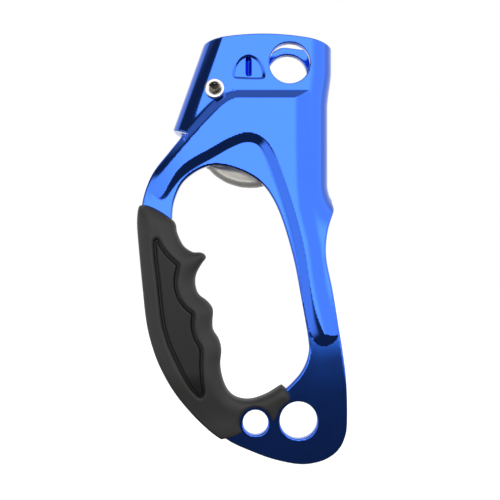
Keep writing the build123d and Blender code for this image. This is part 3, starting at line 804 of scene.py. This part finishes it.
def anodised_blue():
    """Bright, blue-dyed anodised aluminium with a clear seal."""
    material, tree, shader = new_material("anodised_blue", (0.018, 0.130, 0.74), 1.0, 0.11)
    grain = noise(tree, 9000, 3.0)
    cloud = noise(tree, 60, 3.0)
    tree.links.new(spread(tree, cloud, 0.09, 0.13), shader.inputs["Roughness"])
    tree.links.new(tint(tree, cloud, (0.017, 0.126, 0.72), (0.019, 0.134, 0.76)), shader.inputs["Base Color"])
    bump(tree, shader, grain, 0.01, 0.00002)
    shader.inputs["Coat Weight"].default_value = 0.75
    shader.inputs["Coat Roughness"].default_value = 0.08
    return material


def grip_rubber():
    """Moulded rubber with a fine matt spark texture."""
    material, tree, shader = new_material("grip_rubber", (0.019, 0.018, 0.018), 0.0, 0.52)
    grain = noise(tree, 2600, 5.0, 0.7)
    patch = noise(tree, 45, 3.0)
    tree.links.new(spread(tree, patch, 0.50, 0.62), shader.inputs["Roughness"])
    speckle = tint(tree, grain, (0.015, 0.014, 0.014), (0.023, 0.022, 0.021))
    tree.links.new(speckle, shader.inputs["Base Color"])
    bump(tree, shader, grain, 0.35, 0.00012)
    shader.inputs["Specular IOR Level"].default_value = 0.45
    return material


def grip_panel():
    """The smoother, harder inserts of the grip."""
    material, tree, shader = new_material("grip_panel", (0.008, 0.007, 0.008), 0.0, 0.42)
    grain = noise(tree, 3600, 3.0)
    tree.links.new(spread(tree, grain, 0.36, 0.48), shader.inputs["Roughness"])
    speckle = tint(tree, grain, (0.006, 0.005, 0.006), (0.010, 0.009, 0.010))
    tree.links.new(speckle, shader.inputs["Base Color"])
    bump(tree, shader, grain, 0.15, 0.00005)
    shader.inputs["Specular IOR Level"].default_value = 0.35
    return material


def cast_steel():
    """Tumbled investment-cast stainless steel."""
    material, tree, shader = new_material("cast_steel", (0.62, 0.60, 0.55), 0.75, 0.50)
    grain = noise(tree, 1800, 5.0, 0.65)
    cloud = noise(tree, 120, 3.0)
    tree.links.new(spread(tree, cloud, 0.46, 0.54), shader.inputs["Roughness"])
    tree.links.new(tint(tree, cloud, (0.58, 0.56, 0.51), (0.66, 0.64, 0.59)), shader.inputs["Base Color"])
    bump(tree, shader, grain, 0.12, 0.00006)
    return material


def turned_steel(name, color, roughness, scale):
    """Bright hardware with fine marks."""
    material, tree, shader = new_material(name, color, 1.0, roughness)
    grain = noise(tree, scale, 4.0)
    tree.links.new(spread(tree, grain, roughness * 0.8, roughness * 1.3), shader.inputs["Roughness"])
    dark = tuple(c * 0.9 for c in color)
    tree.links.new(tint(tree, grain, dark, color), shader.inputs["Base Color"])
    bump(tree, shader, grain, 0.03, 0.00002)
    return material


def dress(pieces):
    """Gives each piece and each CAD node that still shows its material."""
    looks = {
        "anodised_blue": anodised_blue(),
        "grip_rubber": grip_rubber(),
        "grip_panel": grip_panel(),
        "cast_steel": cast_steel(),
        "steel_hardware": turned_steel("steel_hardware", (0.72, 0.70, 0.67), 0.24, 2400),
        # painted shade: a dark steel for the inside of the screw's hex socket, standing in for the shade in
        # that recess
        "socket": turned_steel("socket", (0.24, 0.22, 0.19), 0.35, 2400),
        "spring_steel": turned_steel("spring_steel", (0.50, 0.49, 0.47), 0.32, 3000),
        "bronze": turned_steel("bronze", (0.62, 0.42, 0.20), 0.36, 1600),
    }
    for piece, slot in pieces:
        piece.data.materials.clear()
        piece.data.materials.append(looks[slot])
        if piece.name.startswith("axle_screw"):
            # painted shade: the screw's socket faces take the dark steel
            darken(piece, looks["socket"], SOCKET_SHADE_ROW)
    slots = {row["node"]: row["material_slot"] for row in frame["record"]["subparts"]}
    for node, shape in frame["nodes"].items():
        for slot in shape.material_slots:
            slot.material = looks[slots[node]]


# ---- Stage -----------------------------------------------------------------------------------
def aim(thing, target):
    """Turns a light towards a point."""
    thing.rotation_euler = (Vector(target) - thing.location).to_track_quat("-Z", "Y").to_euler()


def softbox(name, place, target, size, power):
    """A soft rectangular light that glossy surfaces don't mirror."""
    data = bpy.data.lights.new(name, "AREA")
    data.shape = "RECTANGLE"
    data.size, data.size_y = size
    data.energy = power
    light = bpy.data.objects.new(name, data)
    light.location = place
    light.visible_glossy = False
    bpy.context.scene.collection.objects.link(light)
    aim(light, target)


def camera():
    """Straight on, at the height and distance the viewing angle asks for."""
    data = bpy.data.cameras.new("camera")
    data.lens, data.sensor_width = 50.0, 36.0
    view = bpy.data.objects.new("camera", data)
    data.shift_y = 0.0316
    view.location = (-0.0220, -0.3162, 0.0700)
    view.rotation_euler = (math.radians(90), 0, 0)
    bpy.context.scene.collection.objects.link(view)
    bpy.context.scene.camera = view


def smooth_range(tree, value, low, high):
    """0 below low, 1 above high, smooth between; low may be the larger."""
    node = tree.nodes.new("ShaderNodeMapRange")
    node.interpolation_type = "SMOOTHSTEP"
    node.inputs["From Min"].default_value = min(low, high)
    node.inputs["From Max"].default_value = max(low, high)
    if low > high:
        node.inputs["To Min"].default_value = 1
        node.inputs["To Max"].default_value = 0
    tree.links.new(value, node.inputs["Value"])
    return node.outputs["Result"]


def arithmetic(tree, operation, *values):
    """A Math node over sockets and numbers; more than two are chained."""
    total = values[0]
    for value in values[1:]:
        node = tree.nodes.new("ShaderNodeMath")
        node.operation = operation
        for slot, item in zip(node.inputs, (total, value)):
            if isinstance(item, (int, float)):
                slot.default_value = item
            else:
                tree.links.new(item, slot)
        total = node.outputs[0]
    return total


def studio_light(tree):
    """Brightness of the studio by direction: big soft window in front, dim at the left and below."""
    place = tree.nodes.new("ShaderNodeTexCoord")
    split = tree.nodes.new("ShaderNodeSeparateXYZ")
    tree.links.new(place.outputs["Generated"], split.inputs[0])
    x, y, z = split.outputs
    ramp = partial(smooth_range, tree)
    times = partial(arithmetic, tree, "MULTIPLY")
    window = times(ramp(z, -0.108, -0.088), ramp(z, 0.85, 0.5), ramp(x, -0.24, -0.14), 2.15)
    side = times(ramp(x, 0.15, 0.65), ramp(z, -0.108, -0.088), ramp(z, 0.85, 0.5), -0.85)
    zenith = times(ramp(z, 0.50, 0.68), 0.42)
    left = times(ramp(x, -0.5, -0.75), ramp(z, -0.65, -0.4), ramp(z, 0.22, 0.02), 1.1)
    band = (ramp(x, -0.14, -0.24), ramp(x, -0.75, -0.5), ramp(z, -0.15, -0.09), ramp(z, 0.3, 0.16))
    inner = times(*band, 1.5)
    front = arithmetic(tree, "ADD", window, side, zenith, left, inner, 0.08)
    back = times(ramp(z, -0.5, -0.1), 0.9)
    share = ramp(y, -0.12, 0.15)
    return arithmetic(tree, "ADD", times(front, ramp(y, 0.15, -0.12)), times(back, share))


def studio_world():
    """The studio lights the object; the camera itself sees plain white."""
    world = bpy.data.worlds.new("studio")
    world.use_nodes = True
    tree = world.node_tree
    shown = tree.nodes["Background"]
    shown.inputs["Color"].default_value = (1, 1, 1, 1)
    light = tree.nodes.new("ShaderNodeBackground")
    light.inputs["Color"].default_value = (1, 1, 1, 1)
    tree.links.new(studio_light(tree), light.inputs["Strength"])
    path = tree.nodes.new("ShaderNodeLightPath")
    mix = tree.nodes.new("ShaderNodeMixShader")
    tree.links.new(path.outputs["Is Camera Ray"], mix.inputs["Fac"])
    tree.links.new(light.outputs[0], mix.inputs[1])
    tree.links.new(shown.outputs[0], mix.inputs[2])
    tree.links.new(mix.outputs[0], tree.nodes["World Output"].inputs["Surface"])
    bpy.context.scene.world = world


def stage():
    """A plain pale floor under a white room."""
    mesh = bpy.data.meshes.new("floor")
    side, level = 3.0, -0.045
    mesh.from_pydata([(-side, -side, level), (side, -side, level), (side, side, level), (-side, side, level)],
                     [], [(0, 1, 2, 3)])
    floor = bpy.data.objects.new("floor", mesh)
    floor.visible_glossy = False
    bpy.context.scene.collection.objects.link(floor)
    material, tree, shader = new_material("floor", (0.9, 0.9, 0.9), 0.0, 0.9)
    shader.inputs["Emission Color"].default_value = (1, 1, 1, 1)
    shader.inputs["Emission Strength"].default_value = 0.35
    mesh.materials.append(material)
    studio_world()
    bpy.context.scene.view_settings.view_transform = "Standard"


def main():
    """Sets the stage and makes every piece in its material."""
    camera()
    stage()
    pieces = [(frame_piece(), "anodised_blue")]
    grip, *panels = grip_pieces()
    pieces += [(grip, "grip_rubber")] + [(panel, "grip_panel") for panel in panels]
    pieces += [(piece, "cast_steel") for piece in cam_and_trigger()]
    pieces += [(piece, "steel_hardware") for piece in fasteners()]
    pieces += [(piece, "spring_steel") for piece in springs()]
    dress(pieces)
    softbox("key", (-0.35, -0.5, 0.9), (-0.02, 0, 0.10), (0.5, 0.5), 3)


main()
